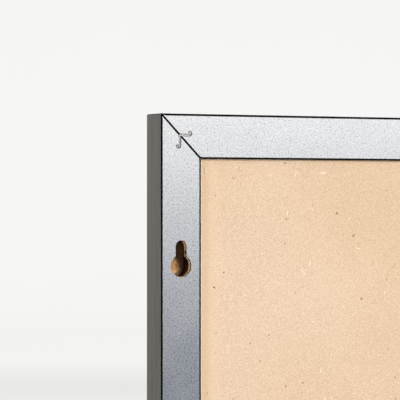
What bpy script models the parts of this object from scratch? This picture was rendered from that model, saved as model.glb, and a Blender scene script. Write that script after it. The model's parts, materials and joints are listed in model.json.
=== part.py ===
"""A framed cork bulletin board, modelled as the separate pieces that it is built from.

Four grooved fibreboard rails, mitred at the corners, carry a laminated panel: cork on a softboard
core on a hardboard back. Each rail wears a dark film round its profile and a silver foil on its rear,
and a V-nail driven in from the rear ties each mitre. The side rails have keyhole slots for wall screws.

Units are metres. X is the width, +Z is up and +Y points to the wall. The rear of the frame lies in
the plane Y = 0. The origin is on that plane, midway between the places where the wall screws seat.
"""

import math

import bmesh
import bpy
from mathutils import Matrix, Vector

MM = 0.001

# The finished frame, over its films
BOARD_WIDTH = 610 * MM
BOARD_HEIGHT = 457 * MM
RAIL_WIDTH = 21 * MM
FRONT_LIP = 3.3 * MM
REAR_LIP = 2.5 * MM
FRONT_OUTER_RADIUS = 3 * MM
FRONT_INNER_RADIUS = 1.2 * MM
ARC_STEPS = 6

# What is glued round each rail, and the joints between the glued pieces
FILM = 0.3 * MM
FILM_TURN_IN = 0.25 * MM
GLUE_LINE = 0.3 * MM
FOIL_GAP = 0.3 * MM
MITRE_GAP = 0.4 * MM

# The panel and the groove that holds it
GROOVE_DEPTH = 4.2 * MM
PANEL_CLEARANCE = 0.3 * MM
PANEL_EDGE_CLEARANCE = 0.5 * MM
HARDBOARD = 2.5 * MM
SOFTBOARD = 5.5 * MM
CORK = 2 * MM

# The keyhole slots in the side rails
HEAD_HOLE_DIAMETER = 10.4 * MM
NECK_WIDTH = 5.4 * MM
NECK_LENGTH = 9 * MM
KEYHOLE_LIP = 2.5 * MM
KEYHOLE_DEPTH = 8 * MM
KEYHOLE_WALL = 0.6 * MM
SEAT_BELOW_TOP = 62 * MM
KEYHOLE_STEPS = 24

# The V-nails across the mitres
NAIL_INSET = 10 * MM
NAIL_LEG = 5.8 * MM
NAIL_THICKNESS = 0.6 * MM
NAIL_DEPTH = 8 * MM
NAIL_HOOK_INSIDE = 0.42 * MM
NAIL_HOOK_TAIL = 0.3 * MM
NAIL_HOOK_STEPS = 6
NAIL_SUNK = 0.2 * MM
NAIL_CLEARANCE = 0.3 * MM

# Worked out from the values above
FILM_LAP = FILM + FILM_TURN_IN
SKIN = FILM + GLUE_LINE
PANEL_THICKNESS = HARDBOARD + SOFTBOARD + CORK + 2 * GLUE_LINE
GROOVE_WIDTH = PANEL_THICKNESS + 2 * PANEL_CLEARANCE
GROOVE_FLOOR = RAIL_WIDTH - GROOVE_DEPTH
RAIL_DEPTH = REAR_LIP + GROOVE_WIDTH + FRONT_LIP
PANEL_INSET = GROOVE_FLOOR + PANEL_EDGE_CLEARANCE
NAIL_HOOK_RADIUS = NAIL_HOOK_INSIDE + NAIL_THICKNESS / 2
KEYHOLE_INSET = GROOVE_FLOOR - SKIN - KEYHOLE_WALL - HEAD_HOLE_DIAMETER / 2
TOP = SEAT_BELOW_TOP
BOTTOM = TOP - BOARD_HEIGHT
MIDDLE = (TOP + BOTTOM) / 2
CUT_PAST = 1 * MM
SHARP_ANGLE = math.radians(35)

# Each rail: its turn about Y from the top rail's place, its length, and how far out its edge lies
RAILS = {
    "top": (0, BOARD_WIDTH, BOARD_HEIGHT / 2),
    "right": (90, BOARD_HEIGHT, BOARD_WIDTH / 2),
    "bottom": (180, BOARD_WIDTH, BOARD_HEIGHT / 2),
    "left": (270, BOARD_HEIGHT, BOARD_WIDTH / 2),
}
SIGNS = {"right": 1, "left": -1, "top": 1, "bottom": -1}


def make_material(name, colour, roughness, metallic=0.0):
    material = bpy.data.materials.new(name)
    material.use_nodes = True
    shader = material.node_tree.nodes["Principled BSDF"]
    shader.inputs["Base Color"].default_value = (*colour, 1)
    shader.inputs["Roughness"].default_value = roughness
    shader.inputs["Metallic"].default_value = metallic
    return material


def add_object(name, mesh_builder, material):
    """Gives a finished bmesh to a named object with its own copy of the material."""
    bmesh.ops.recalc_face_normals(mesh_builder, faces=mesh_builder.faces)
    mesh = bpy.data.meshes.new(name)
    mesh_builder.to_mesh(mesh)
    mesh_builder.free()
    mesh.shade_smooth()
    mesh.set_sharp_from_angle(angle=SHARP_ANGLE)
    mesh.materials.append(material.copy())
    obj = bpy.data.objects.new(name, mesh)
    bpy.context.scene.collection.objects.link(obj)
    return obj


def add_cutter(name, mesh_builder):
    cutter = add_object(name, mesh_builder, MATERIALS["steel"])
    cutter.hide_render = True
    cutter.display_type = "WIRE"
    return cutter


def cut(obj, cutter):
    modifier = obj.modifiers.new("cut_" + cutter.name, "BOOLEAN")
    modifier.operation = "DIFFERENCE"
    modifier.solver = "EXACT"
    modifier.object = cutter


def arc(centre, radius, start, end, steps):
    """Points on an arc about centre, from the start angle to the end angle."""
    angles = (start + (end - start) * i / steps for i in range(steps + 1))
    return [centre + radius * Vector((math.cos(a), math.sin(a))) for a in angles]


def left_of(direction):
    return Vector((-direction.y, direction.x))


def offset_path(points, distance, closed=False):
    """The path moved to its left by distance, with its corners kept sharp."""
    moved = []
    count = len(points)
    for i, point in enumerate(points):
        before = points[i - 1] if closed or i else None
        after = points[(i + 1) % count] if closed or i < count - 1 else None
        into = (point - before).normalized() if before else (after - point).normalized()
        out = (after - point).normalized() if after else into
        bisector = (left_of(into) + left_of(out)).normalized()
        moved.append(point + bisector * distance / bisector.dot(left_of(into)))
    return moved


def extruded(outline, place, travel):
    """A closed prism: the 2D outline, put in space by place, and swept along travel."""
    builder = bmesh.new()
    face = builder.faces.new([builder.verts.new(place(point)) for point in outline])
    swept = bmesh.ops.extrude_face_region(builder, geom=[face])
    moved = [item for item in swept["geom"] if isinstance(item, bmesh.types.BMVert)]
    bmesh.ops.translate(builder, verts=moved, vec=travel)
    return builder


# --- The rails -------------------------------------------------------------------------------

# A rail's profile is drawn in (u, v): u runs inwards from the frame's outer edge, and v runs forwards
# from its rear. The top rail lies along X with its outer edge up.


def rail_surface():
    """The finished surface of a rail, from the rear outer edge round the front to the rear inner edge."""
    groove_front = REAR_LIP + GROOVE_WIDTH
    outer = arc(
        Vector((FRONT_OUTER_RADIUS, RAIL_DEPTH - FRONT_OUTER_RADIUS)),
        FRONT_OUTER_RADIUS,
        math.pi,
        math.pi / 2,
        ARC_STEPS,
    )
    inner = arc(
        Vector((RAIL_WIDTH - FRONT_INNER_RADIUS, RAIL_DEPTH - FRONT_INNER_RADIUS)),
        FRONT_INNER_RADIUS,
        math.pi / 2,
        0,
        ARC_STEPS,
    )
    groove = [
        Vector((RAIL_WIDTH, groove_front)),
        Vector((GROOVE_FLOOR, groove_front)),
        Vector((GROOVE_FLOOR, REAR_LIP)),
        Vector((RAIL_WIDTH, REAR_LIP)),
    ]
    return [Vector((0, 0)), *outer, *inner, *groove, Vector((RAIL_WIDTH, 0))]


def core_outline():
    return offset_path(rail_surface(), -SKIN, closed=True)


def film_outline():
    """The film follows the surface and turns over each rear edge."""
    outside = [
        Vector((FILM_LAP, 0)),
        *rail_surface(),
        Vector((RAIL_WIDTH - FILM_LAP, 0)),
    ]
    return outside + offset_path(outside, -FILM)[::-1]


def foil_outline():
    start = FILM_LAP + FOIL_GAP
    end = RAIL_WIDTH - FILM_LAP - FOIL_GAP
    return [Vector(p) for p in ((start, 0), (end, 0), (end, FILM), (start, FILM))]


def mitred_rail(name, outline, side, material):
    """Sweeps a profile along one side of the frame and mitres both of its ends at 45 degrees."""
    turn, length, outer_edge = RAILS[side]
    builder = extruded(outline, lambda p: (0, -p.y, -p.x), (1, 0, 0))
    half = length / 2 - MITRE_GAP / math.sqrt(2)
    for vertex in builder.verts:
        reach = half + vertex.co.z
        vertex.co.x = reach if vertex.co.x > 0 else -reach
    turning = Matrix.Rotation(math.radians(turn), 4, "Y")
    lift = Matrix.Translation((0, 0, MIDDLE))
    obj = add_object(name, builder, material)
    obj.matrix_world = lift @ turning @ Matrix.Translation((0, 0, outer_edge))


# --- The keyhole slots -----------------------------------------------------------------------


def slot_outline(head, width):
    """A slot from the head hole's centre up to the seat, with a round top end."""
    radius = width / 2
    seat = head + Vector((0, NECK_LENGTH))
    top = arc(seat, radius, 0, math.pi, KEYHOLE_STEPS // 2)
    return [*top, head - Vector((radius, 0)), head + Vector((radius, 0))]


def pocket_cutter(name, outline, start, end):
    """A cutter with an (x, z) outline, from start to end below the rear surface."""
    return add_cutter(
        name, extruded(outline, lambda p: (p.x, -start, p.y), (0, start - end, 0))
    )


def keyhole_cutters(side):
    """The head hole, the neck, and the undercut that a screw's head slides up, as wide as the hole."""
    head = Vector((SIGNS[side] * (BOARD_WIDTH / 2 - KEYHOLE_INSET), -NECK_LENGTH))
    circle = arc(head, HEAD_HOLE_DIAMETER / 2, 0, 2 * math.pi, KEYHOLE_STEPS)[:-1]
    neck = slot_outline(head, NECK_WIDTH)
    undercut = slot_outline(head, HEAD_HOLE_DIAMETER)
    return [
        pocket_cutter(side + "_head_hole", circle, -CUT_PAST, KEYHOLE_DEPTH),
        pocket_cutter(side + "_neck", neck, -CUT_PAST, KEYHOLE_DEPTH - CUT_PAST),
        pocket_cutter(side + "_undercut", undercut, KEYHOLE_LIP, KEYHOLE_DEPTH),
    ]


# --- The V-nails -----------------------------------------------------------------------------


def nail_path():
    """The strip's centre line for the top right corner: a hook, a leg, the apex, a leg and a hook.

    It is drawn in (inwards, down) from the apex, so that one leg lies along each rail. Each hook turns
    back on the outer side of its leg.
    """
    bend = Vector((NAIL_LEG - NAIL_HOOK_RADIUS, -NAIL_HOOK_RADIUS))
    hook = arc(bend, NAIL_HOOK_RADIUS, math.pi / 2, -math.pi / 2, NAIL_HOOK_STEPS)
    hook.append(hook[-1] - Vector((NAIL_HOOK_TAIL, 0)))
    mirrored = [Vector((point.y, point.x)) for point in hook]
    return [*mirrored[::-1], Vector((0, 0)), *hook]


def nail_prism(corner_x, corner_z, grow, rear, front):
    """The strip as a prism at one corner, grown by grow on every side but its two open faces."""
    path = nail_path()
    half = NAIL_THICKNESS / 2 + grow
    path[0] += (path[0] - path[1]).normalized() * grow
    path[-1] += (path[-1] - path[-2]).normalized() * grow
    outline = offset_path(path, half) + offset_path(path, -half)[::-1]
    apex_x = corner_x * (BOARD_WIDTH / 2 - NAIL_INSET)
    apex_z = MIDDLE + corner_z * (BOARD_HEIGHT / 2 - NAIL_INSET)
    return extruded(
        outline,
        lambda p: (apex_x - corner_x * p.x, -rear, apex_z - corner_z * p.y),
        (0, rear - front, 0),
    )


def add_v_nail(vertical, horizontal):
    """Adds the nail of one corner, and cuts its kerf in the two rails and foils that meet there."""
    corner = (SIGNS[horizontal], SIGNS[vertical])
    name = f"v_nail_{vertical}_{horizontal}"
    nail = nail_prism(*corner, 0, NAIL_SUNK, NAIL_DEPTH)
    add_object(name, nail, MATERIALS["steel"])
    kerf_floor = NAIL_DEPTH + NAIL_CLEARANCE
    kerf = add_cutter(
        name + "_kerf", nail_prism(*corner, NAIL_CLEARANCE, -CUT_PAST, kerf_floor)
    )
    for side in (vertical, horizontal):
        cut(bpy.data.objects[side + "_rail"], kerf)
        cut(bpy.data.objects[side + "_rear_foil"], kerf)


# --- The panel -------------------------------------------------------------------------------


def add_panel_sheet(name, rear, thickness, material):
    """One layer of the panel, which reaches into the groove on every side."""
    half_width = BOARD_WIDTH / 2 - PANEL_INSET
    half_height = BOARD_HEIGHT / 2 - PANEL_INSET
    builder = bmesh.new()
    bmesh.ops.create_cube(builder, size=2)
    bmesh.ops.scale(
        builder, verts=builder.verts, vec=(half_width, thickness / 2, half_height)
    )
    sheet = add_object(name, builder, material)
    sheet.location = (0, -rear - thickness / 2, MIDDLE)


def add_panel():
    hardboard_rear = REAR_LIP + PANEL_CLEARANCE
    softboard_rear = hardboard_rear + HARDBOARD + GLUE_LINE
    cork_rear = softboard_rear + SOFTBOARD + GLUE_LINE
    add_panel_sheet("hardboard_back", hardboard_rear, HARDBOARD, MATERIALS["hardboard"])
    add_panel_sheet("softboard_core", softboard_rear, SOFTBOARD, MATERIALS["softboard"])
    add_panel_sheet("cork_sheet", cork_rear, CORK, MATERIALS["cork"])


# --- The assembly ----------------------------------------------------------------------------

for old in list(bpy.data.objects):
    bpy.data.objects.remove(old, do_unlink=True)

MATERIALS = {
    "fibreboard": make_material("fibreboard", (0.42, 0.25, 0.12), 0.9),
    "film": make_material("graphite_film", (0.075, 0.07, 0.064), 0.5),
    "foil": make_material("silver_foil", (0.62, 0.63, 0.65), 0.4, 0.85),
    "steel": make_material("bright_steel", (0.6, 0.6, 0.6), 0.3, 1.0),
    "hardboard": make_material("hardboard", (0.66, 0.48, 0.33), 0.85),
    "softboard": make_material("softboard", (0.35, 0.26, 0.17), 0.95),
    "cork": make_material("cork", (0.5, 0.3, 0.14), 0.9),
}

for side in RAILS:
    mitred_rail(side + "_rail", core_outline(), side, MATERIALS["fibreboard"])
    mitred_rail(side + "_rail_film", film_outline(), side, MATERIALS["film"])
    mitred_rail(side + "_rear_foil", foil_outline(), side, MATERIALS["foil"])

for side in ("left", "right"):
    for cutter in keyhole_cutters(side):
        cut(bpy.data.objects[side + "_rail"], cutter)
        if not cutter.name.endswith("_undercut"):
            cut(bpy.data.objects[side + "_rear_foil"], cutter)

for vertical in ("top", "bottom"):
    for horizontal in ("left", "right"):
        add_v_nail(vertical, horizontal)

add_panel()
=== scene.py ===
# %% [markdown]
# # A framed cork bulletin board
#
# The board is a thin laminate (cork, softboard, hardboard) held in the groove of four mitred rails.
# Each rail is fibreboard under a graphite film, with a silver foil glued on its rear. The side rails
# have keyhole slots for wall screws, and a V-nail driven in from the rear ties each mitre.
#
# The solid model fixes every size and place. This script loads it as a frame, gives each piece its
# finish, and rebuilds the pieces whose real surface is more than a flat face.

# %% Load the frame
import json
import math
import random

import bmesh
import bpy
from mathutils import Matrix, Vector, noise


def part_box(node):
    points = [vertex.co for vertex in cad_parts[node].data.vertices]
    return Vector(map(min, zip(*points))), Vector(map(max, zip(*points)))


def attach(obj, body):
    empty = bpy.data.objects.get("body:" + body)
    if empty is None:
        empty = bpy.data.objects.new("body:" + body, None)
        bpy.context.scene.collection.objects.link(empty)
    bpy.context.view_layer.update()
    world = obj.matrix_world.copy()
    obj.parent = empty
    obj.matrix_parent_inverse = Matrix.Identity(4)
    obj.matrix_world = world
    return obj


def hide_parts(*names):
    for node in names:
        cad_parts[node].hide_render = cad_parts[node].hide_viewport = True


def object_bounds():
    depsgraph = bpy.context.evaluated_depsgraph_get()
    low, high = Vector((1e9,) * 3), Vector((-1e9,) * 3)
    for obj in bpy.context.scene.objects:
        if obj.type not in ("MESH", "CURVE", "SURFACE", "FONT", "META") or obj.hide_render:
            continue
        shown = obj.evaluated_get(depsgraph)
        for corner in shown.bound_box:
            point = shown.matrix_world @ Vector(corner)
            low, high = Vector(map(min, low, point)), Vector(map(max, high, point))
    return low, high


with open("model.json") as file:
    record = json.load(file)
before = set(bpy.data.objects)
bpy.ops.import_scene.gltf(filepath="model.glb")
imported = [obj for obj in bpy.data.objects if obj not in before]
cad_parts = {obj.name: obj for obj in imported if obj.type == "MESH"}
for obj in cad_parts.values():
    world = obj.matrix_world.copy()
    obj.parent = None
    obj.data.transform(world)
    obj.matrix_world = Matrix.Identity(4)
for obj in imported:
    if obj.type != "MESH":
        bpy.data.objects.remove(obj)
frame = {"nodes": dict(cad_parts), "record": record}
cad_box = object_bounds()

MM = 0.001
NOISE_SEED = 11

# Without a seed of its own, noise_vector starts from the clock, and each run would differ a little.
noise.seed_set(NOISE_SEED)
nodes = frame["nodes"]
print("CAD nodes:", len(nodes))

# %% [markdown]
# ## Sizes
#
# Everything below is measured on the solid model, so that a new pack with other sizes needs no edit
# here. X runs along the width, +Y points to the wall and +Z is up. The rear of the frame is its
# highest Y, so a depth counts down from there.

# %% Measure the frame
low, high = cad_box
middle = (low + high) / 2
WIDTH, DEPTH, HEIGHT = high - low
REAR = high.y

film_low, film_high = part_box("right_rail_film")
foil_low, foil_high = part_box("right_rear_foil")
core_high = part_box("right_rail")[1]
back_low, back_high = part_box("hardboard_back")
cork_low, cork_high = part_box("cork_sheet")

RAIL_WIDTH = film_high.x - film_low.x
FOIL_MARGIN = high.x - foil_high.x
FOIL = foil_high.y - foil_low.y
print(f"board {WIDTH / MM:.1f} x {DEPTH / MM:.1f} x {HEIGHT / MM:.1f} mm")
print(f"rail {RAIL_WIDTH / MM:.1f} mm wide, foil {FOIL / MM:.1f} mm thick")

# %% Find the keyhole slots
openings = {o["name"]: o["box_m"] for o in frame["record"]["physics"]["openings"]}


def keyhole_head(side):
    """The centre of the head hole's mouth in one side rail."""
    corner_a, corner_b = openings[side + "_head_hole"]
    x = (corner_a[0] + corner_b[0]) / 2
    z = (corner_a[2] + corner_b[2]) / 2
    return Vector((x, REAR, z))


print("right head hole at", [round(v / MM, 2) for v in keyhole_head("right")])

# %% [markdown]
# ## The camera
#
# A long lens from more than a metre away keeps the rails almost parallel, as in a catalogue picture
# of a detail. It stands level, behind the board and to one side, and looks at the upper corner.

# %% Place the camera
VIEW_YAW = math.radians(27.45)
CORNER_DISTANCE = 1.11
CORNER_LEFT = 0.0182
CORNER_UP = 0.0403
LENS = 215

corner = Vector((high.x, REAR, high.z))
forward = Vector((-math.sin(VIEW_YAW), -math.cos(VIEW_YAW), 0))
right = Vector((-math.cos(VIEW_YAW), math.sin(VIEW_YAW), 0))
up = Vector((0, 0, 1))

camera = bpy.data.objects.new("camera", bpy.data.cameras.new("camera"))
camera.data.lens = LENS
camera.location = corner + CORNER_LEFT * right - CORNER_UP * up - CORNER_DISTANCE * forward
camera.rotation_euler = forward.to_track_quat("-Z", "Y").to_euler()
bpy.context.scene.collection.objects.link(camera)
bpy.context.scene.camera = camera
bpy.context.scene.view_settings.view_transform = "Standard"
print("camera at", [round(v, 3) for v in camera.location])

# %% [markdown]
# ## Helpers for the pieces
#
# A piece is made in a bmesh, with its place already in its vertices. One helper turns it into an
# object that rides on the frame, hides the solid that it replaces, and gives it its finishes.

# %% Piece helper
SHARP = math.radians(20)


def link_mesh(name, builder, *materials, flat=False):
    """Makes an object from a bmesh, smooth except at sharp edges, or flat all over."""
    mesh = bpy.data.meshes.new(name)
    builder.to_mesh(mesh)
    builder.free()
    if flat:
        mesh.shade_flat()
    else:
        mesh.shade_smooth()
        mesh.set_sharp_from_angle(angle=SHARP)
    for material in materials:
        mesh.materials.append(material)
    made = bpy.data.objects.new(name, mesh)
    bpy.context.scene.collection.objects.link(made)
    return made


def add_piece(name, builder, slot, replaced, *materials, flat=False):
    """Adds a piece of the board with its finishes and hides the CAD nodes in replaced."""
    bmesh.ops.recalc_face_normals(builder, faces=builder.faces)
    piece = link_mesh(name, builder, *materials, flat=flat)
    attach(piece, "root")
    if replaced:
        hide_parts(*replaced)
    print(f"{name}: {len(piece.data.polygons)} faces")


# %% [markdown]
# ## Helpers for the finishes
#
# A finish is a small graph of procedural nodes. Patterns read Object coordinates, in metres, so a
# noise of scale 1000 has features of about a millimetre, and the pattern stays on the piece.

# %% Finish helper


class Finish:
    """A Principled material whose colour, roughness and relief come from procedural patterns."""

    def __init__(self, name, roughness, metallic=0.0, specular=0.5):
        self.material = bpy.data.materials.new(name)
        self.material.use_nodes = True
        self.tree = self.material.node_tree
        self.shader = self.tree.nodes["Principled BSDF"]
        self.shader.inputs["Roughness"].default_value = roughness
        self.shader.inputs["Metallic"].default_value = metallic
        self.shader.inputs["Specular IOR Level"].default_value = specular
        self.place = self.add("ShaderNodeTexCoord").outputs["Object"]

    def add(self, kind, settings=None, inputs=None):
        """Adds a node, sets its properties, and fills its inputs with values or links."""
        node = self.tree.nodes.new(kind)
        for key, value in (settings or {}).items():
            setattr(node, key, value)
        for key, value in (inputs or {}).items():
            if isinstance(value, bpy.types.NodeSocket):
                self.tree.links.new(value, node.inputs[key])
            else:
                node.inputs[key].default_value = value
        return node

    def stretch(self, x, y, z):
        """Coordinates scaled along each axis, so that a pattern is drawn out along the others."""
        inputs = {"Vector": self.place, "Scale": (x, y, z)}
        return self.add("ShaderNodeMapping", inputs=inputs).outputs["Vector"]

    def warp(self, scale, amount):
        """Coordinates pushed about by a noise, which breaks up straight cell walls."""
        inputs = {"Vector": self.place, "Scale": scale, "Detail": 2.0}
        wobble = self.add("ShaderNodeTexNoise", inputs=inputs).outputs["Color"]
        pushed = self.add("ShaderNodeVectorMath", {"operation": "MULTIPLY_ADD"})
        self.tree.links.new(wobble, pushed.inputs[0])
        pushed.inputs[1].default_value = (amount, amount, amount)
        self.tree.links.new(self.place, pushed.inputs[2])
        return pushed.outputs["Vector"]

    def noise(self, scale, detail=3.0, roughness=0.5, place=None):
        inputs = {"Vector": place or self.place, "Scale": scale, "Detail": detail, "Roughness": roughness}
        return self.add("ShaderNodeTexNoise", inputs=inputs).outputs["Fac"]

    def cells(self, scale, feature="F1", place=None):
        inputs = {"Vector": place or self.place, "Scale": scale}
        return self.add("ShaderNodeTexVoronoi", {"feature": feature}, inputs)

    def axes(self):
        """The X, Y and Z of each point, by name."""
        return self.add("ShaderNodeSeparateXYZ", inputs={"Vector": self.place}).outputs

    def ramp(self, value, *stops):
        """A colour ramp from (position, colour) stops."""
        node = self.add("ShaderNodeValToRGB", inputs={"Fac": value})
        points = node.color_ramp.elements
        while len(points) < len(stops):
            points.new(0.5)
        for point, (position, colour) in zip(points, stops):
            point.position = position
            point.color = (*colour, 1)
        return node.outputs["Color"]

    def fade(self, value, start, end, bottom=0.0, top=1.0):
        """A number that runs from bottom to top while value runs from start to end."""
        inputs = {"Value": value, "From Min": start, "From Max": end, "To Min": bottom, "To Max": top}
        return self.add("ShaderNodeMapRange", inputs=inputs).outputs["Result"]

    def times(self, a, b):
        node = self.add("ShaderNodeMath", {"operation": "MULTIPLY"})
        return self.fill_two(node, a, b)

    def plus(self, a, b):
        node = self.add("ShaderNodeMath", {"operation": "ADD"})
        return self.fill_two(node, a, b)

    def distance(self, value, centre, half):
        """How far a value is from its centre, less half the extent."""
        gap = self.add("ShaderNodeMath", {"operation": "ABSOLUTE"}, {0: self.plus(value, -centre)})
        return self.plus(gap.outputs[0], -half)

    def fill_two(self, node, a, b):
        for socket, value in zip(node.inputs, (a, b)):
            if isinstance(value, bpy.types.NodeSocket):
                self.tree.links.new(value, socket)
            else:
                socket.default_value = value
        return node.outputs[0]

    def mix(self, factor, a, b, mode="MIX"):
        """Blends two colours."""
        node = self.add("ShaderNodeMix", {"data_type": "RGBA", "blend_type": mode})
        for index, value in ((0, factor), (6, a), (7, b)):
            socket = node.inputs[index]
            if isinstance(value, bpy.types.NodeSocket):
                self.tree.links.new(value, socket)
            elif index == 0:
                socket.default_value = value
            else:
                socket.default_value = (*value, 1)
        return node.outputs[2]

    def colour(self, socket):
        self.tree.links.new(socket, self.shader.inputs["Base Color"])

    def gloss(self, socket):
        self.tree.links.new(socket, self.shader.inputs["Roughness"])

    def relief(self, height, distance, strength=1.0):
        """Bump of that depth in metres where height runs from 0 to 1."""
        inputs = {"Height": height, "Distance": distance, "Strength": strength}
        bump = self.add("ShaderNodeBump", inputs=inputs)
        self.tree.links.new(bump.outputs["Normal"], self.shader.inputs["Normal"])


# %% [markdown]
# ## Graphite film
#
# The rails are wrapped in a printed film, matte and nearly black-brown, with the faint lengthwise
# streaks of the roller that pressed it on. A noise drawn out along the rail gives the streaks. The
# two side rails run along Z and the other two along X, so the film has one material for each way.
# Cut edges of paper, film and foil have a nearly black finish: partly the dark glue that shows there,
# and partly painted shade of the narrow gaps that they face.

# %% Film material
GRAPHITE = (0.105, 0.095, 0.084)
GRAPHITE_WORN = (0.165, 0.151, 0.136)
ACROSS_STREAKS = 900
ALONG_STREAKS = 26


def film_finish(name, along_x, along_z):
    film = Finish(name, 0.5, specular=0.35)
    streaks = film.noise(1.0, 4.0, 0.6, film.stretch(along_x, ACROSS_STREAKS, along_z))
    grain = film.noise(2600, 2.0)
    tone = film.plus(film.times(streaks, 0.7), film.times(grain, 0.3))
    film.colour(film.ramp(tone, (0.36, GRAPHITE), (0.66, GRAPHITE_WORN)))
    film.gloss(film.fade(grain, 0.3, 0.7, 0.44, 0.58))
    film.relief(grain, 0.03 * MM, 0.5)
    return film.material


film_upright = film_finish("graphite_film_upright", ACROSS_STREAKS, ALONG_STREAKS)
film_level = film_finish("graphite_film_level", ALONG_STREAKS, ACROSS_STREAKS)

# Painted shade: this near-black finish also stands for the shade in the gaps round the foil.
black_edge_and_gap_shade = Finish("film_black_edge_and_gap_shade", 1.0, specular=0.0)
glue_and_gap_shade_stops = ((0.3, (0.002, 0.002, 0.002)), (0.7, (0.005, 0.005, 0.004)))
black_edge_and_gap_shade.colour(black_edge_and_gap_shade.ramp(black_edge_and_gap_shade.noise(3000), *glue_and_gap_shade_stops))

# %% [markdown]
# ## Silver foil
#
# The rear foil is paper with a thin metal coat. It mirrors the studio softly, and its coat is grainy:
# tiny flakes lie at slightly different angles. A fine noise in the colour and in the relief gives
# that sparkle, and a coarser one lets the sheen drift along the rail. The coat is wholly metallic,
# because a part that scatters light would show the lamps as bright specks.

# %% Foil material
foil = Finish("silver_foil", 0.2, metallic=1.0)
flakes = foil.noise(1150, 2.0, 0.75)
specks = foil.cells(1300).outputs["Color"]
dull = foil.noise(60, 3.0)
silver_stops = (
    (0.32, (0.44, 0.45, 0.48)),
    (0.48, (0.77, 0.775, 0.785)),
    (0.7, (0.86, 0.86, 0.86)),
)
silver = foil.ramp(flakes, *silver_stops)
speck_tone = foil.ramp(specks, (0.0, (0.82, 0.82, 0.84)), (1.0, (1.0, 1.0, 1.0)))
foil.colour(foil.mix(0.6, silver, speck_tone, "MULTIPLY"))
sheen = foil.plus(foil.times(flakes, 0.5), foil.times(dull, 0.5))
foil.gloss(foil.fade(sheen, 0.3, 0.7, 0.17, 0.23))
foil.relief(flakes, 0.004 * MM, 0.3)

# %% [markdown]
# ## Fibreboard
#
# The rails' core shows only where it is cut: in the keyhole slots, the mitres and the nail kerfs. Cut
# fibreboard is a warm brown felt of short fibres, paler where the cutter tore it, with burnt streaks.
# Its rear face under the wraps and its faces in the mitres are painted nearly black: painted shade of
# the narrow gaps at the foil's edges and in the mitres. The walls of the pocket that the cutter widens
# behind the slot's lip are painted dark as well, as painted shade of that recess, but not its floor.
# Each of these follows the place on the board: the depth below the rear face, or the distance from the
# mitre's plane, where a point is as far from one outer side as from the next.

# %% Fibreboard material
# Sizes and colours of painted shade: the rear face, the mitres and the keyhole pocket.
REAR_SHADE_DEPTH = 0.12 * MM
MITRE_SHADE_WIDTH = 0.9 * MM
MITRE_SHADE_BLUR = 0.2 * MM
POCKET_SHADE_START = 1.7 * MM
POCKET_SHADE_START_BLUR = 0.5 * MM
POCKET_SHADE_END = 7.8 * MM
POCKET_SHADE_END_BLUR = 0.3 * MM
POCKET_SHADE_COLOUR = (0.022, 0.010, 0.006)
REAR_GAP_SHADE = (0.02, 0.016, 0.013)
MITRE_GAP_SHADE = (0.004, 0.004, 0.004)

fibreboard = Finish("cut_fibreboard", 0.95, specular=0.15)
felt = fibreboard.noise(1600, 4.0, 0.7)
burn = fibreboard.noise(300, 2.0)
brown_stops = (
    (0.25, (0.34, 0.17, 0.07)),
    (0.5, (0.64, 0.385, 0.175)),
    (0.78, (0.86, 0.60, 0.32)),
)
brown = fibreboard.ramp(felt, *brown_stops)
burnt = fibreboard.ramp(burn, (0.35, (0.62, 0.5, 0.42)), (0.6, (1.0, 1.0, 1.0)))
cut = fibreboard.mix(1.0, brown, burnt, "MULTIPLY")
board_axes = fibreboard.axes()
y = board_axes["Y"]
# Painted shade: near-black on the rear face, for the shade of the gaps under the foil's edges.
painted_rear_shade = fibreboard.fade(y, core_high.y - REAR_SHADE_DEPTH, core_high.y)
reach_x = fibreboard.distance(board_axes["X"], middle.x, WIDTH / 2)
reach_z = fibreboard.distance(board_axes["Z"], middle.z, HEIGHT / 2)
from_mitre = fibreboard.distance(fibreboard.plus(reach_x, fibreboard.times(reach_z, -1.0)), 0.0, 0.0)
# Painted shade: near-black in the mitres, for the shade of their gap.
painted_mitre_shade = fibreboard.fade(from_mitre, MITRE_SHADE_WIDTH + MITRE_SHADE_BLUR, MITRE_SHADE_WIDTH)
# Painted shade: the pocket's walls under the lip are painted dark, for the shade of that recess; its floor is
# not.
under_lip = fibreboard.fade(y, REAR - POCKET_SHADE_START, REAR - POCKET_SHADE_START - POCKET_SHADE_START_BLUR)
above_floor = fibreboard.fade(y, REAR - POCKET_SHADE_END, REAR - POCKET_SHADE_END + POCKET_SHADE_END_BLUR)
painted_pocket_shade = fibreboard.times(under_lip, above_floor)
pocket_shaded = fibreboard.mix(painted_pocket_shade, cut, POCKET_SHADE_COLOUR)
rear_shaded = fibreboard.mix(painted_rear_shade, pocket_shaded, REAR_GAP_SHADE)
fibreboard.colour(fibreboard.mix(painted_mitre_shade, rear_shaded, MITRE_GAP_SHADE))
fibreboard.relief(felt, 0.12 * MM)

# %% [markdown]
# ## Bright steel
#
# V-nails are stamped from thin rolled strip, so their edge is bright and scratched along its length.

# %% Steel material
steel = Finish("rolled_steel", 0.3, metallic=1.0)
scratches = steel.noise(1.0, 3.0, 0.6, steel.stretch(9000, 1200, 9000))
steel.colour(steel.ramp(scratches, (0.3, (0.50, 0.49, 0.48)), (0.7, (0.86, 0.85, 0.83))))
steel.gloss(steel.fade(scratches, 0.3, 0.7, 0.2, 0.42))
steel.relief(scratches, 0.01 * MM, 0.5)

# %% [markdown]
# ## Hardboard
#
# The back is a smooth tan fibreboard: a cloudy base, a fine felt of fibres pressed flat, and a few dark
# flecks of bark. Beside the side rails the sheet is painted a brighter, warmer tan, painted light that
# lifts the shade the rails cast there, and a pale line of saw dust lies right at them, so the distance
# across the board decides both. The long pale fibres that stand out are real pieces, added further
# down.

# %% Hardboard material
DUST_START = 2.1 * MM
DUST_END = 1.7 * MM
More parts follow.
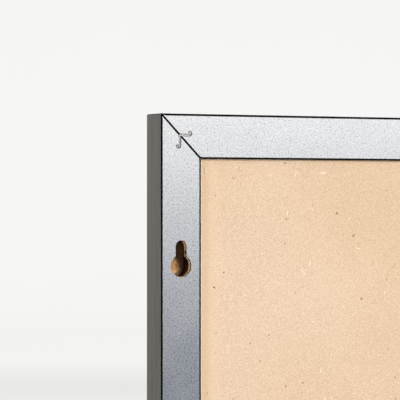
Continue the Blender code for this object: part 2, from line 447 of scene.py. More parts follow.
# The band of painted light beside the side rails.
LIGHT_BAND_START = 13 * MM
LIGHT_BAND_END = 2 * MM
PAINTED_LIGHT_TAN = (0.92, 0.66, 0.41)
SAW_DUST = (0.97, 0.88, 0.74)
BARK_FLECK = (0.22, 0.12, 0.06)

hardboard = Finish("tan_hardboard", 0.8, specular=0.25)
clouds = hardboard.noise(26, 3.0, 0.55)
hairs = hardboard.noise(1.0, 3.0, 0.7, hardboard.stretch(1100, 1100, 3200))
cross_hairs = hardboard.noise(1.0, 3.0, 0.7, hardboard.stretch(3200, 1100, 1100))
pulp = hardboard.noise(2300, 3.0, 0.7)
weave = hardboard.plus(hardboard.times(hairs, 0.35), hardboard.times(cross_hairs, 0.35))
tone = hardboard.plus(hardboard.plus(weave, hardboard.times(pulp, 0.3)), hardboard.times(clouds, 0.05))
tan_stops = (
    (0.41, (0.52, 0.355, 0.225)),
    (0.525, (0.71, 0.53, 0.375)),
    (0.64, (0.86, 0.70, 0.54)),
)
tan = hardboard.ramp(tone, *tan_stops)
fleck_cells = hardboard.cells(210, place=hardboard.warp(600, 1.0 * MM))
fleck_draw = hardboard.add("ShaderNodeSeparateColor", inputs={"Color": fleck_cells.outputs["Color"]})
fleck_spot = hardboard.fade(fleck_cells.outputs["Distance"], 0.125, 0.08)
fleck_chosen = hardboard.fade(fleck_draw.outputs["Red"], 0.66, 0.84)
warm = hardboard.fade(hardboard.noise(9, 1.0), 0.40, 0.70, 0.0, 0.4)
toned = hardboard.mix(warm, tan, hardboard.ramp(tone, (0.41, (0.50, 0.31, 0.16)), (0.64, (0.80, 0.58, 0.37))))
across = hardboard.add("ShaderNodeMath", {"operation": "ABSOLUTE"}, {0: hardboard.axes()["X"]}).outputs[0]
seam_x = high.x - RAIL_WIDTH
dusty = hardboard.fade(across, seam_x - DUST_START, seam_x - DUST_END)
# Painted light: a brighter, warmer band beside the side rails lifts the shade that they cast.
painted_light_band = hardboard.fade(across, seam_x - LIGHT_BAND_START, seam_x - LIGHT_BAND_END, 0.0, 0.5)
light_banded = hardboard.mix(painted_light_band, toned, PAINTED_LIGHT_TAN)
dusted = hardboard.mix(hardboard.times(dusty, 0.4), light_banded, SAW_DUST)
hardboard.colour(hardboard.mix(hardboard.times(fleck_spot, fleck_chosen), dusted, BARK_FLECK))
hardboard.relief(tone, 0.06 * MM, 0.6)

# %% [markdown]
# ## Softboard
#
# The core is coarse insulating board. It is hidden by the cork and the hardboard, but it keeps its own
# finish for anyone who takes the board apart.

# %% Softboard material
softboard = Finish("grey_softboard", 0.95, specular=0.1)
shreds = softboard.noise(1.0, 4.0, 0.7, softboard.stretch(250, 900, 500))
softboard.colour(softboard.ramp(shreds, (0.3, (0.20, 0.14, 0.08)), (0.7, (0.46, 0.36, 0.25))))
softboard.relief(shreds, 0.3 * MM)

# %% [markdown]
# ## Cork
#
# Agglomerated cork is chips of bark, 1 to 4 mm across, pressed with a little binder. Each chip has its
# own tone, and some are dark bark. Two sizes of warped cells give the chips, and the thin walls
# between the cells are the darker binder.

# %% Cork material
cork = Finish("natural_cork", 0.88, specular=0.2)
crumpled = cork.warp(420, 2.4 * MM)
chips = cork.cells(330, place=crumpled)
crumbs = cork.cells(800, place=crumpled)
walls = cork.cells(330, "DISTANCE_TO_EDGE", crumpled)
chip_draw = cork.add("ShaderNodeSeparateColor", inputs={"Color": chips.outputs["Color"]})
crumb_draw = cork.add("ShaderNodeSeparateColor", inputs={"Color": crumbs.outputs["Color"]})
chip_tone = cork.ramp(
    chip_draw.outputs["Red"],
    (0.0, (0.34, 0.175, 0.075)),
    (0.35, (0.50, 0.285, 0.135)),
    (0.7, (0.60, 0.365, 0.185)),
    (1.0, (0.70, 0.46, 0.26)),
)
crumb_tone = cork.ramp(
    crumb_draw.outputs["Green"],
    (0.0, (0.60, 0.52, 0.46)),
    (0.5, (0.95, 0.93, 0.9)),
    (1.0, (1.0, 1.0, 1.0)),
)
grained = cork.mix(0.75, chip_tone, crumb_tone, "MULTIPLY")
wall = cork.fade(walls.outputs["Distance"], 0.0, 0.09, 0.75, 0.0)
jointed = cork.mix(wall, grained, (0.20, 0.10, 0.045))
bark = cork.fade(crumb_draw.outputs["Blue"], 0.90, 0.93)
cork.colour(cork.mix(bark, jointed, (0.12, 0.055, 0.025)))
dust = cork.noise(2200, 3.0)
height = cork.plus(cork.fade(walls.outputs["Distance"], 0.0, 0.16, 0.0, 0.6), cork.times(dust, 0.4))
cork.relief(height, 0.22 * MM)
print("finishes:", len(bpy.data.materials))

# %% [markdown]
# ## The finishes of the pieces that keep their CAD shape
#
# The top and bottom rails' cores and the softboard core are all but hidden, so their solids stay as
# they are and only take the right finish.

# %% Dress the kept solids


def dress(node, material):
    nodes[node].data.materials.clear()
    nodes[node].data.materials.append(material)


dress("top_rail", fibreboard.material)
dress("bottom_rail", fibreboard.material)
dress("softboard_core", softboard.material)

# %% [markdown]
# ## The rails' wrapped film
#
# A film wrap is a constant profile along the whole rail, so it is made the way the wrapping line makes
# it: a profile of a few points is extruded along the rail, its corners are rounded by a bevel, and it
# gets its thickness from solidify. The mitres are saw cuts, so bisect_plane makes them.

# %% Rail profile
FRONT_OUTER_RADIUS = 3 * MM
FRONT_INNER_RADIUS = 1.2 * MM
REAR_ARRIS = 0.12 * MM
FOIL_GAP = 0.3 * MM
FILM_LAP = FOIL_MARGIN - FOIL_GAP
PANEL_CLEARANCE = 0.3 * MM
MITRE_GAP = 0.4 * MM
PANEL_EDGE_CLEARANCE = 0.5 * MM

groove_rear = REAR - (back_high.y + PANEL_CLEARANCE)
groove_front = REAR - (cork_low.y - PANEL_CLEARANCE)
groove_floor = high.x - back_high.x - PANEL_EDGE_CLEARANCE

FILM_PROFILE = [
    (FILM_LAP, 0),
    (0, 0),
    (0, DEPTH),
    (RAIL_WIDTH, DEPTH),
    (RAIL_WIDTH, groove_front),
    (groove_floor, groove_front),
    (groove_floor, groove_rear),
    (RAIL_WIDTH, groove_rear),
    (RAIL_WIDTH, 0),
    (RAIL_WIDTH - FILM_LAP, 0),
]
FRONT_FOLDS = {2: (FRONT_OUTER_RADIUS, 12), 3: (FRONT_INNER_RADIUS, 8)}
REAR_FOLDS = {1: (REAR_ARRIS, 3), 8: (REAR_ARRIS, 3)}
SIDES = {"top": 0, "right": 90, "bottom": 180, "left": 270}


def turn_to_side(builder, side):
    """Moves a rail made along X at the origin, with its outer rear edge on the X axis, to its side."""
    reach = HEIGHT / 2 if side in ("top", "bottom") else WIDTH / 2
    move = Matrix.Translation(Vector((middle.x, REAR, middle.z)))
    turn = Matrix.Rotation(math.radians(SIDES[side]), 4, "Y")
    out = Matrix.Translation(Vector((0, 0, reach)))
    bmesh.ops.transform(builder, matrix=move @ turn @ out, verts=builder.verts)


def saw_mitres(builder, length, gap):
    """Cuts both ends at 45 degrees, half a gap short of the corner, and closes them."""
    for end in (1, -1):
        normal = Vector((end, 0, -1)).normalized()
        tip = Vector((end * (length / 2 - gap / math.sqrt(2)), 0, 0))
        everything = [*builder.verts, *builder.edges, *builder.faces]
        cut = bmesh.ops.bisect_plane(
            builder,
            geom=everything,
            dist=1e-6,
            plane_co=tip,
            plane_no=normal,
            clear_outer=True,
        )
        rim = [item for item in cut["geom_cut"] if isinstance(item, bmesh.types.BMEdge)]
        bmesh.ops.holes_fill(builder, edges=rim)


def fold_edges(builder, u, v):
    """The edges that run along the rail at one point of its profile."""
    return [
        edge
        for edge in builder.edges
        if all(abs(w.co.y + v) < 1e-6 and abs(w.co.z + u) < 1e-6 for w in edge.verts)
    ]


def round_folds(builder, folds):
    for index, (radius, segments) in folds.items():
        bmesh.ops.bevel(
            builder,
            geom=fold_edges(builder, *FILM_PROFILE[index]),
            offset=radius,
            offset_type="OFFSET",
            segments=segments,
            profile=0.5,
            affect="EDGES",
            material=-1,
        )


def film_sheet(length):
    """One rail's wrap, from its rear outer lap round the front and through the groove."""
    builder = bmesh.new()
    start = [builder.verts.new((-length / 2, -v, -u)) for u, v in FILM_PROFILE]
    line = [builder.edges.new(pair) for pair in zip(start, start[1:])]
    swept = bmesh.ops.extrude_edge_only(builder, edges=line)
    far = [item for item in swept["geom"] if isinstance(item, bmesh.types.BMVert)]
    bmesh.ops.translate(builder, verts=far, vec=(length, 0, 0))
    round_folds(builder, FRONT_FOLDS)
    bmesh.ops.recalc_face_normals(builder, faces=builder.faces)
    return builder


# %% [markdown]
# The sheet gets its thickness after its folds are rounded, so that the inner face follows them at an
# even distance. The two rear arrises are broken last. On the rear the wrap ends in a narrow lap whose
# cut edge reads as a black line round the foil: partly glue, partly painted shade of the gap beside the
# foil. So the laps get a near-black material of their own.

# %% Make the four wraps
FILM = 0.3 * MM
LAP_TILT = 0.3


def thickness_sign(builder):
    """Solidify grows along the normals, so this is -1 where they point out of the rail."""
    front = max(builder.faces, key=lambda face: -face.calc_center_median().y)
    return 1 if front.normal.y < 0 else -1


def wrap(side):
    length = WIDTH if side in ("top", "bottom") else HEIGHT
    builder = film_sheet(length)
    sign = thickness_sign(builder)
    bmesh.ops.solidify(builder, geom=list(builder.faces), thickness=sign * FILM)
    round_folds(builder, REAR_FOLDS)
    saw_mitres(builder, length, MITRE_GAP)
    turn_to_side(builder, side)
    bmesh.ops.recalc_face_normals(builder, faces=builder.faces)
    # The laps are painted near-black: glue, and painted shade of the gap round the foil.
    for face in builder.faces:
        if face.normal.y > LAP_TILT and face.calc_center_median().y > REAR - FILM / 2:
            face.material_index = 1
    finishes = (film_level if side in ("top", "bottom") else film_upright, black_edge_and_gap_shade.material)
    add_piece("wrap_" + side, builder, "graphite_film", [side + "_rail_film"], *finishes)


for side in SIDES:
    wrap(side)

# %% [markdown]
# ## Pieces cut from the solid model
#
# The foils and the side rails have an outline that the slots and the nail kerfs cut into, and the solid
# model already holds it. A copy of the solid is loose triangles, so its doubles are merged first. The
# flat faces stay triangles, because a face with a hole in it can't be one face. Then the edges that a
# real tool leaves rough are divided into short steps and pushed about.

# %% Copy a solid
SAME_PLACE = 0.001 * MM


def copy_solid(node):
    """A CAD node's shape as a bmesh whose triangles share their corners."""
    builder = bmesh.new()
    builder.from_mesh(nodes[node].data)
    bmesh.ops.remove_doubles(builder, verts=builder.verts, dist=SAME_PLACE)
    return builder


def rims(builder):
    """The edges between two faces that meet at an angle, and that run square to the board's depth."""
    return [
        edge
        for edge in builder.edges
        if edge.calc_face_angle(0) > SHARP and abs(edge.verts[0].co.y - edge.verts[1].co.y) < SAME_PLACE
    ]


def cut_up(builder, edges, spacing):
    """Divides edges into steps of about the spacing."""
    groups = {}
    for edge in edges:
        groups.setdefault(round(edge.calc_length() / spacing) - 1, []).append(edge)
    for cuts, group in groups.items():
        if cuts > 0:
            bmesh.ops.subdivide_edges(builder, edges=group, cuts=cuts)


def roughen(points, amount, grain):
    """Pushes points sideways by a noise of that grain. Points above each other move together."""
    for vertex in points:
        push = noise.noise_vector(Vector((vertex.co.x, 0.0, vertex.co.z)) / grain)
        vertex.co.x += push.x * amount
        vertex.co.z += push.z * amount


# %% [markdown]
# ## The rear foils
#
# Each rail's rear carries a strip of silver foil on paper. It is cut with the rail at the mitre and at
# the keyhole, so its cut edges are a little ragged. It is trimmed just short of the arris, shrunk back
# from the mitre, so that the core, whose rear face is painted nearly black as painted shade, shows as a
# thin line, and torn back on the inner side of the keyhole. Only the rear face of the solid's copy is
# kept. Its outline is divided, and beautify_fill evens out the triangles, so that none is a sliver that
# a moved point could turn over. After its points have moved, the sheet is drawn out to the foil's
# thickness. It is shaded flat, and its walls are nearly black: cut paper, and painted shade of the gap
# they face.

# %% Make the four foils
FOIL_SHRINK = 0.3 * MM
FOIL_TORN_BACK = 0.32 * MM
SLOT_BORDER = 7 * MM
FOIL_RAGGED = 0.05 * MM
FOIL_TRIM = 0.15 * MM
FOIL_STEP = 1.6 * MM
FOIL_GRAIN = 1.1 * MM
FACES_REAR = 0.5


def mitre_distance(point, side):
    """How far a point of one rail lies from the nearer of its two mitre planes, and the way to it."""
    best = None
    for end in (1, -1):
        across = {"top": (end, 1), "bottom": (end, -1), "right": (1, end), "left": (-1, end)}[side]
        tip = Vector((middle.x + across[0] * WIDTH / 2, 0, middle.z + across[1] * HEIGHT / 2))
        along = (across[0], -across[1]) if side in ("top", "bottom") else (-across[0], across[1])
        normal = Vector((along[0], 0, along[1])).normalized()
        distance = -(Vector((point.x, 0, point.z)) - tip).dot(normal)
        if best is None or distance < best[0]:
            best = (distance, normal)
    return best


def from_slot(point, side):
    """The way to a point from the line between the head hole's centre and the screw's seat, at Z 0."""
    head = keyhole_head(side)
    nearest = Vector((head.x, point.y, min(max(point.z, head.z), 0)))
    return point - nearest


def tear_back(vertex, side):
    """Draws a point of the outline back from the slot, most on the side towards the panel."""
    out = from_slot(vertex.co, side)
    if out.length < SLOT_BORDER:
        inwards = -math.copysign(out.x, out.x * vertex.co.x) / out.length
        torn = min(max(0.6 + 0.8 * inwards, 0), 1)
        vertex.co += out.normalized() * FOIL_TORN_BACK * torn


def foil_strip(side):
    builder = copy_solid(side + "_rear_foil")
    hidden = [face for face in builder.faces if face.normal.y < FACES_REAR]
    bmesh.ops.delete(builder, geom=hidden, context="FACES")
    cut_up(builder, [edge for edge in builder.edges if edge.is_boundary], FOIL_STEP)
    bmesh.ops.triangulate(builder, faces=builder.faces)
    inner = [edge for edge in builder.edges if not edge.is_boundary]
    bmesh.ops.beautify_fill(builder, faces=builder.faces, edges=inner)
    for vertex in builder.verts:
        distance, way = mitre_distance(vertex.co, side)
        if abs(vertex.co.x) > foil_high.x - SAME_PLACE:
            vertex.co.x -= math.copysign(FOIL_TRIM, vertex.co.x)
        if abs(vertex.co.z - middle.z) > HEIGHT / 2 - FOIL_MARGIN - SAME_PLACE:
            vertex.co.z -= math.copysign(FOIL_TRIM, vertex.co.z - middle.z)
        if distance < MITRE_GAP / 2 + FOIL_SHRINK:
            vertex.co -= way * (MITRE_GAP / 2 + FOIL_SHRINK - distance)
        if side in ("left", "right"):
            tear_back(vertex, side)
    roughen(builder.verts, FOIL_RAGGED, FOIL_GRAIN)
    grown = bmesh.ops.extrude_face_region(builder, geom=list(builder.faces))["geom"]
    front = [item for item in grown if isinstance(item, bmesh.types.BMVert)]
    bmesh.ops.translate(builder, verts=front, vec=(0, -FOIL, 0))
    bmesh.ops.recalc_face_normals(builder, faces=builder.faces)
    # The cut walls are painted near-black: cut paper, and painted shade of the gap that they face.
    for face in builder.faces:
        if face.normal.y < FACES_REAR:
            face.material_index = 1
    finishes = (foil.material, black_edge_and_gap_shade.material)
    add_piece("foil_" + side, builder, "silver_foil", [side + "_rear_foil"], *finishes, flat=True)


for side in SIDES:
    foil_strip(side)

# %% [markdown]
# ## The side rails
#
# The side rails' core shows in the keyholes. A router bit tears fibreboard, so the mouth of each slot
# is divided finely, pushed about a little and chamfered: the lip then has the furry rim that the bit
# leaves, and it catches the light.

# %% Make the two side rails
SLOT_REACH = 16 * MM
MOUTH_DEPTH = 6 * MM
MOUTH_STEP = 0.5 * MM
TORN = 0.09 * MM
TORN_GRAIN = 0.45 * MM
MOUTH_CHAMFER = 0.32 * MM


def side_rail(side):
    builder = copy_solid(side + "_rail")
    head = keyhole_head(side)
    near = [
        edge
        for edge in rims(builder)
        if all((vertex.co - head).length < SLOT_REACH for vertex in edge.verts)
        and edge.verts[0].co.y > REAR - MOUTH_DEPTH
    ]
    cut_up(builder, near, MOUTH_STEP)
    torn = [
        vertex
        for vertex in builder.verts
        if (vertex.co - head).length < SLOT_REACH and vertex.co.y > REAR - MOUTH_DEPTH
    ]
    roughen(torn, TORN, TORN_GRAIN)
    mouth = [
        edge
        for edge in builder.edges
        if all(abs(vertex.co.y - core_high.y) < SAME_PLACE for vertex in edge.verts)
        and all((vertex.co - head).length < SLOT_REACH for vertex in edge.verts)
        and any(abs(face.normal.y) < 0.5 for face in edge.link_faces)
    ]
    bmesh.ops.bevel(
        builder,
        geom=mouth,
        offset=MOUTH_CHAMFER,
        offset_type="OFFSET",
        segments=2,
        profile=0.5,
        affect="EDGES",
        material=-1,
    )
    add_piece("core_" + side, builder, "fibreboard", [side + "_rail"], fibreboard.material)


for side in ("right", "left"):
    side_rail(side)

# %% [markdown]
# ## The V-nails
#
# A V-nail is a strip of steel folded to a V, with a small hook rolled on each end so that it draws the
# mitre shut. One leg is an extruded line of points whose end is spun round the hook. A copy with its
# two axes swapped is the other leg. The line is then drawn out to the nail's depth, given the strip's
# thickness, and its stamped edges are broken.

# %% Make the four nails
NAIL_LEG = 5.8 * MM
NAIL_THICKNESS = 0.6 * MM
NAIL_HOOK_RADIUS = 0.72 * MM
NAIL_HOOK_TAIL = 0.3 * MM
NAIL_HOOK_STEPS = 12
NAIL_BURR = 0.07 * MM
SWAP_AXES = Matrix(((0, 0, 1, 0), (0, 1, 0, 0), (1, 0, 0, 0), (0, 0, 0, 1)))


def extend(builder, vertex, move):
    """Draws a line of one edge from a point, and returns its far end."""
    grown = bmesh.ops.extrude_vert_indiv(builder, verts=[vertex])["verts"]
    bmesh.ops.translate(builder, verts=grown, vec=move)
    return grown[0]


def nail_line(rear):
    """The outer side of the strip's V, drawn in (inwards, down) from the corner of the mitre."""
    builder = bmesh.new()
    half = NAIL_THICKNESS / 2
    apex = builder.verts.new((-half, rear, -half))
    bend = Vector((NAIL_LEG - NAIL_HOOK_RADIUS, rear, -NAIL_HOOK_RADIUS))
    knee = extend(builder, apex, (bend.x + half, 0, 0))
    rolled = bmesh.ops.spin(
        builder,
        geom=[knee],
        cent=bend,
        axis=(0, 1, 0),
        angle=math.pi,
        steps=NAIL_HOOK_STEPS,
    )["geom_last"]
    extend(builder, rolled[0], (-NAIL_HOOK_TAIL, 0, 0))
    twin = bmesh.ops.duplicate(builder, geom=[*builder.verts, *builder.edges])["geom"]
    copied = [item for item in twin if isinstance(item, bmesh.types.BMVert)]
    bmesh.ops.transform(builder, matrix=SWAP_AXES, verts=copied)
    bmesh.ops.remove_doubles(builder, verts=builder.verts, dist=SAME_PLACE)
    return builder


def corner_nail(vertical, horizontal):
    node = f"v_nail_{vertical}_{horizontal}"
    box_low, box_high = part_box(node)
    builder = nail_line(box_high.y)
    swept = bmesh.ops.extrude_edge_only(builder, edges=builder.edges)
    far = [item for item in swept["geom"] if isinstance(item, bmesh.types.BMVert)]
    bmesh.ops.translate(builder, verts=far, vec=(0, box_low.y - box_high.y, 0))
    bmesh.ops.recalc_face_normals(builder, faces=builder.faces)
    leg = max(builder.faces, key=lambda face: face.calc_area())
    sign = 1 if leg.normal.x + leg.normal.z < 0 else -1
    bmesh.ops.solidify(builder, geom=list(builder.faces), thickness=sign * NAIL_THICKNESS)
    rear_rim = [
        edge
        for edge in builder.edges
        if all(vertex.co.y > box_high.y - SAME_PLACE for vertex in edge.verts)
        and any(face.normal.y < 0.5 for face in edge.link_faces)
    ]
    bmesh.ops.bevel(
        builder,
        geom=rear_rim,
        offset=NAIL_BURR,
        offset_type="OFFSET",
        segments=2,
        profile=0.5,
        affect="EDGES",
        clamp_overlap=True,
        material=-1,
    )
    way_x = 1 if horizontal == "right" else -1
    way_z = 1 if vertical == "top" else -1
    outwards = 2 * NAIL_HOOK_RADIUS + NAIL_THICKNESS / 2
    apex_x = box_high.x - outwards if way_x > 0 else box_low.x + outwards
    apex_z = box_high.z - outwards if way_z > 0 else box_low.z + outwards
    apex = Vector((apex_x, 0, apex_z))
    place = Matrix.Translation(apex) @ Matrix.Diagonal((-way_x, 1, -way_z, 1))
    bmesh.ops.transform(builder, matrix=place, verts=builder.verts)
    add_piece(f"nail_{vertical}_{horizontal}", builder, "nail_steel", [node], steel.material)


for vertical in ("top", "bottom"):
    for horizontal in ("left", "right"):
        corner_nail(vertical, horizontal)

# %% [markdown]
# ## The panel's outer sheets
#
# The hardboard behind and the cork in front are thin flat boards, but neither is a perfect plane. Each
# is a fine grid with its back drawn out to the sheet's thickness, and the side that shows is pressed in
# by a noise. Only that side moves, and only inwards, so that the sheet keeps its size.

# %% Sheet helper


def sheet_of(box_low, box_high, shown, step, relief):
    """A closed board whose shown side (+1 for +Y) is a grid pressed in by relief(x, z)."""
    size = box_high - box_low
    centre = (box_low + box_high) / 2
    builder = bmesh.new()
    bmesh.ops.create_grid(
        builder,
        x_segments=round(size.x / step),
        y_segments=round(size.z / step),
        size=0.5,
    )
    upright = Matrix.Rotation(math.radians(-90 * shown), 4, "X") @ Matrix.Diagonal((size.x, size.z, 1, 1))
    out = Vector((centre.x, box_high.y if shown > 0 else box_low.y, centre.z))
    bmesh.ops.transform(builder, matrix=Matrix.Translation(out) @ upright, verts=builder.verts)
    shown_side = list(builder.verts)
    rim = [edge for edge in builder.edges if edge.is_boundary]
    walls = bmesh.ops.extrude_edge_only(builder, edges=rim)["geom"]
    far = [item for item in walls if isinstance(item, bmesh.types.BMVert)]
    bmesh.ops.translate(builder, verts=far, vec=(0, -shown * size.y, 0))
    back_rim = [item for item in walls if isinstance(item, bmesh.types.BMEdge) and item.is_boundary]
    bmesh.ops.holes_fill(builder, edges=back_rim)
    for vertex in shown_side:
        vertex.co.y -= shown * relief(vertex.co.x, vertex.co.z)
    return builder


# %% [markdown]
# ## The hardboard back
#
# Hardboard is pulp pressed hot between plates. Its surface waves very slightly, which is what lets a
# low light play over it.

# %% Make the hardboard
WAVE_DEPTH = 0.12 * MM
WAVE_LENGTH = 45 * MM
PRESS_DEPTH = 0.03 * MM
PRESS_LENGTH = 5 * MM
BACK_STEP = 2.4 * MM


def pressed(x, z):
    wave = 0.5 + 0.5 * noise.noise(Vector((x, 0, z)) / WAVE_LENGTH)
    dent = 0.5 + 0.5 * noise.noise(Vector((x, 1, z)) / PRESS_LENGTH)
    return WAVE_DEPTH * max(0, min(1, wave)) + PRESS_DEPTH * max(0, min(1, dent))


builder = sheet_of(back_low, back_high, 1, BACK_STEP, pressed)
add_piece("back_sheet", builder, "hardboard", ["hardboard_back"], hardboard.material)

# %% [markdown]
# A few hundred fibres of long pulp lie on the hardboard and stand out pale. Each is a thin three-sided
# rod of a few steps, swept along a gentle arc and thinned towards its ends. It lies half sunk, with a
# flat side out, so that it catches the light as one face.

# %% Lay the fibres
FIBRES = 480
FIBRE_STEPS = 5
FIBRE_SIDES = 3
FIBRE_GIRTH = 0.3
FIBRE_BLUNT = 0.35
FIBRE_MARGIN = 6 * MM


def fibre(builder, place, heading, length, bend, thickness):
    """Adds one fibre: a ring of three points, extruded step by step while its heading turns."""
    ring = bmesh.ops.create_circle(
        builder,
        cap_ends=True,
        segments=FIBRE_SIDES,
        radius=thickness * FIBRE_GIRTH,
    )["verts"]
    stand = Matrix.Rotation(math.radians(90), 4, "Y") @ Matrix.Rotation(math.radians(180), 4, "Z")
    turn = Matrix.Translation(place) @ Matrix.Rotation(heading, 4, "Y") @ stand
    bmesh.ops.transform(builder, matrix=turn, verts=ring)
    cap = ring[0].link_faces[0]
    foot = list(cap.edges)
    centre = place.copy()
    for step in range(FIBRE_STEPS):
        share = (step + 1) / FIBRE_STEPS
        heading += bend / FIBRE_STEPS
        move = Vector((math.cos(heading), 0, -math.sin(heading))) * length / FIBRE_STEPS
        grown = bmesh.ops.extrude_discrete_faces(builder, faces=[cap])["faces"]
        cap = grown[0]
        bmesh.ops.translate(builder, verts=cap.verts, vec=move)
        centre += move
        girth_before = FIBRE_BLUNT + math.sin(math.pi * step / FIBRE_STEPS)
        swell = (FIBRE_BLUNT + math.sin(math.pi * share)) / girth_before
        bmesh.ops.scale(builder, verts=cap.verts, vec=(swell,) * 3, space=Matrix.Translation(-centre))
    bmesh.ops.holes_fill(builder, edges=foot)


def lay_fibres():
    draw = random.Random(11)
    builder = bmesh.new()
    for _ in range(FIBRES):
        x = draw.uniform(back_low.x + FIBRE_MARGIN, back_high.x - FIBRE_MARGIN)
        z = draw.uniform(back_low.z + FIBRE_MARGIN, back_high.z - FIBRE_MARGIN)
        thickness = draw.uniform(0.16, 0.45) * MM
        place = Vector((x, back_high.y - pressed(x, z) + thickness * 0.1, z))
        length = draw.uniform(1.2, 4.5) * MM
        fibre(builder, place, draw.uniform(0, 2 * math.pi), length, draw.uniform(-1.2, 1.2), thickness)
    return builder


straw = Finish("pale_fibre", 0.7, specular=0.3)
straw.colour(straw.ramp(straw.noise(900), (0.3, (0.78, 0.63, 0.47)), (0.7, (0.91, 0.78, 0.62))))
add_piece("back_fibres", lay_fibres(), "hardboard", [], straw.material)

# %% [markdown]
# ## The cork sheet
#
# Pressed cork is pitted: the chips stand a little proud and the joints between them sink. A cell noise
# gives each chip its height and a dip at its edge, fine enough for the light to catch.

# %% Make the cork
CHIP = 2.6 * MM
CHIP_WARP = 1.5 * MM
PIT_DEPTH = 0.16 * MM
CORK_STEP = 1.62 * MM


def pitted(x, z):
    wobble = noise.noise_vector(Vector((x, 0, z)) / CHIP_WARP) * 0.5
    near, points = noise.voronoi(Vector((x / CHIP + wobble.x, 0.5, z / CHIP + wobble.z)))
    edge = min(1, (near[1] - near[0]) * 3)
    tilt = 0.5 + 0.5 * noise.cell(points[0] * 7.3)
    return PIT_DEPTH * (1 - edge * (0.45 + 0.55 * tilt))


builder = sheet_of(cork_low, cork_high, -1, CORK_STEP, pitted)
add_piece("cork_face", builder, "cork", ["cork_sheet"], cork.material)

# %% [markdown]
# ## The stage
#
# The board stands on a wide pale floor that sweeps up into a wall all round, like a studio cove. The
# cove is only a backdrop: the light on the board comes from the sky and the lamps, so the cove is kept
# out of its reflections. It glows a little, and more with the distance from the board, so that the
# wall is nearly white while the floor near the board keeps the soft shadow.

# %% Make the cove
COVE_FLAT = 6.5
COVE_BEND = 1.5
COVE_WALL = 9.0
COVE_STEPS = 96
COVE_BEND_STEPS = 8
FLOOR_GAP = 0.2 * MM
GLOW_START = 0.6
GLOW_END = 5.0
GLOW_NEAR = 0.1
GLOW_FAR = 0.65

cove_finish = Finish("pale_cove", 0.9, specular=0.0)
mottle = cove_finish.noise(1.5, 2.0)
cove_finish.colour(cove_finish.ramp(mottle, (0.3, (0.80, 0.80, 0.795)), (0.7, (0.82, 0.82, 0.815))))
cove_finish.shader.inputs["Emission Color"].default_value = (1.0, 0.995, 0.985, 1)
away = cove_finish.add("ShaderNodeVectorMath", {"operation": "LENGTH"}, {0: cove_finish.place})
glow = cove_finish.fade(away.outputs["Value"], GLOW_START, GLOW_END, GLOW_NEAR, GLOW_FAR)
cove_finish.tree.links.new(glow, cove_finish.shader.inputs["Emission Strength"])

builder = bmesh.new()
bmesh.ops.create_circle(builder, cap_ends=True, segments=COVE_STEPS, radius=COVE_FLAT)
ring = [edge for edge in builder.edges if edge.is_boundary]
for step in range(1, COVE_BEND_STEPS + 1):
    angle = math.pi / 2 * step / COVE_BEND_STEPS
    out = COVE_FLAT + COVE_BEND * math.sin(angle)
    rise = COVE_BEND * (1 - math.cos(angle))
    grown = bmesh.ops.extrude_edge_only(builder, edges=ring)["geom"]
    ring = [item for item in grown if isinstance(item, bmesh.types.BMEdge) and item.is_boundary]
    for vertex in (item for item in grown if isinstance(item, bmesh.types.BMVert)):
        flat = Vector((vertex.co.x, vertex.co.y)).normalized() * out
        vertex.co = (flat.x, flat.y, rise)
grown = bmesh.ops.extrude_edge_only(builder, edges=ring)["geom"]
top = [item for item in grown if isinstance(item, bmesh.types.BMVert)]
bmesh.ops.translate(builder, verts=top, vec=(0, 0, COVE_WALL))
bmesh.ops.translate(builder, verts=builder.verts, vec=(0, 0, low.z - FLOOR_GAP))
bmesh.ops.recalc_face_normals(builder, faces=builder.faces)
bmesh.ops.reverse_faces(builder, faces=builder.faces)
cove = link_mesh("cove", builder, cove_finish.material)
cove.visible_diffuse = False
cove.visible_glossy = False
cove.visible_shadow = False
print("cove faces:", len(cove.data.polygons))

# %% [markdown]
# ## The light
#
# The key lamp stands low on the wall side, a little towards -X. It lights the rear and rakes into the
# keyholes. The side lamp grazes the graphite side, and the front lamp lights the cork. The foil
# would show the first two as glare, so they are left out of reflections. It mirrors the sky instead,
# which is brighter for reflections than for the rest and is dark just below the horizon: the foil
# turns darker the further down it is seen.

# %% Sky
SKY = 0.42
SKY_MIRRORED = 1.6
SKY_SPREAD = 0.5

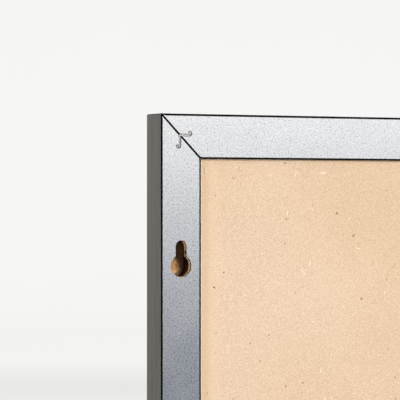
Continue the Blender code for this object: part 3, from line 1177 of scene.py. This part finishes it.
world = bpy.data.worlds.new("sky")
bpy.context.scene.world = world
world.use_nodes = True
tree = world.node_tree
way = tree.nodes.new("ShaderNodeTexCoord")
split = tree.nodes.new("ShaderNodeSeparateXYZ")
shade = tree.nodes.new("ShaderNodeValToRGB")
spread = tree.nodes.new("ShaderNodeMapRange")
spread.inputs["From Min"].default_value = -SKY_SPREAD
spread.inputs["From Max"].default_value = SKY_SPREAD
tree.links.new(way.outputs["Generated"], split.inputs[0])
tree.links.new(split.outputs["Z"], spread.inputs["Value"])
tree.links.new(spread.outputs["Result"], shade.inputs["Fac"])
stops = (
    (0.15, (0.36, 0.36, 0.36)),
    (0.34, (0.09, 0.105, 0.14)),
    (0.425, (0.075, 0.088, 0.118)),
    (0.50, (0.405, 0.417, 0.437)),
    (0.527, (1.0, 1.0, 0.985)),
    (0.62, (1.0, 1.0, 0.985)),
    (0.85, (0.66, 0.66, 0.66)),
)
while len(shade.color_ramp.elements) < len(stops):
    shade.color_ramp.elements.new(0.5)
for element, (position, colour) in zip(shade.color_ramp.elements, stops):
    element.position = position
    element.color = (*colour, 1)
tree.links.new(shade.outputs["Color"], tree.nodes["Background"].inputs["Color"])
paths = tree.nodes.new("ShaderNodeLightPath")
level = tree.nodes.new("ShaderNodeMapRange")
level.inputs["To Min"].default_value = SKY
level.inputs["To Max"].default_value = SKY_MIRRORED
tree.links.new(paths.outputs["Is Glossy Ray"], level.inputs["Value"])
tree.links.new(level.outputs["Result"], tree.nodes["Background"].inputs["Strength"])
print("sky stops:", len(stops))

# %% Lamps
LAMP_DISTANCE = 3.0


def lamp(name, azimuth, elevation, size, power):
    """A square soft lamp that looks at the board's middle. Azimuth counts from +Y towards +X."""
    turn = math.radians(azimuth)
    lift = math.radians(elevation)
    away = Vector((math.sin(turn) * math.cos(lift), math.cos(turn) * math.cos(lift), math.sin(lift)))
    light = bpy.data.lights.new(name, "AREA")
    light.size = size
    light.energy = power
    made = bpy.data.objects.new(name, light)
    made.location = middle + away * LAMP_DISTANCE
    made.rotation_euler = (-away).to_track_quat("-Z", "Y").to_euler()
    made.visible_camera = False
    bpy.context.scene.collection.objects.link(made)
    return made


lamp("key", azimuth=-14, elevation=12, size=1.0, power=81).visible_glossy = False
lamp("side", azimuth=68, elevation=8, size=1.0, power=44).visible_glossy = False
lamp("front", azimuth=205, elevation=40, size=1.6, power=60)
print("lamps:", len(bpy.data.lights))
